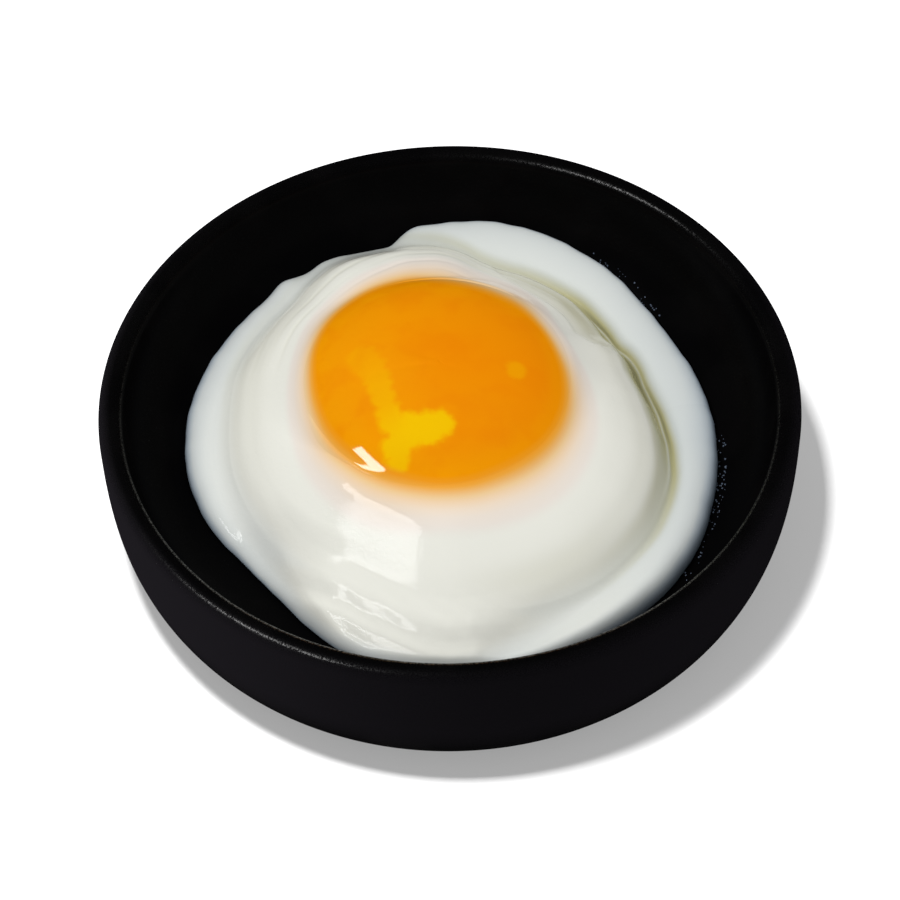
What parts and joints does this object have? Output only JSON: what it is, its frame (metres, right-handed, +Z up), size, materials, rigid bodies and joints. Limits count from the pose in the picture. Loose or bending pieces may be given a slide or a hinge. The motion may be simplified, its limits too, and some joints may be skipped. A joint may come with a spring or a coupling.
{
  "type": "onsen egg in a bowl",
  "caption": "Soft-set egg with a round yolk on a low mound of white, lying in a small round black dish with a rounded lip.",
  "frame": {"origin": "middle of the bowl's foot, on the ground", "axes": "+Z up, the side seen first faces -Y"},
  "size_m": [0.105, 0.105, 0.0295],
  "materials": {
    "black_stoneware": "matte black glaze with a soft sheen on the lip",
    "egg_white": "soft-set egg white, milky and slightly see-through, wet",
    "egg_yolk": "soft egg yolk under its skin, wet"
  },
  "bodies": {
    "root": {"bowl": "black_stoneware", "egg_white": "egg_white", "yolk": "egg_yolk"}
  },
  "joints": []
}
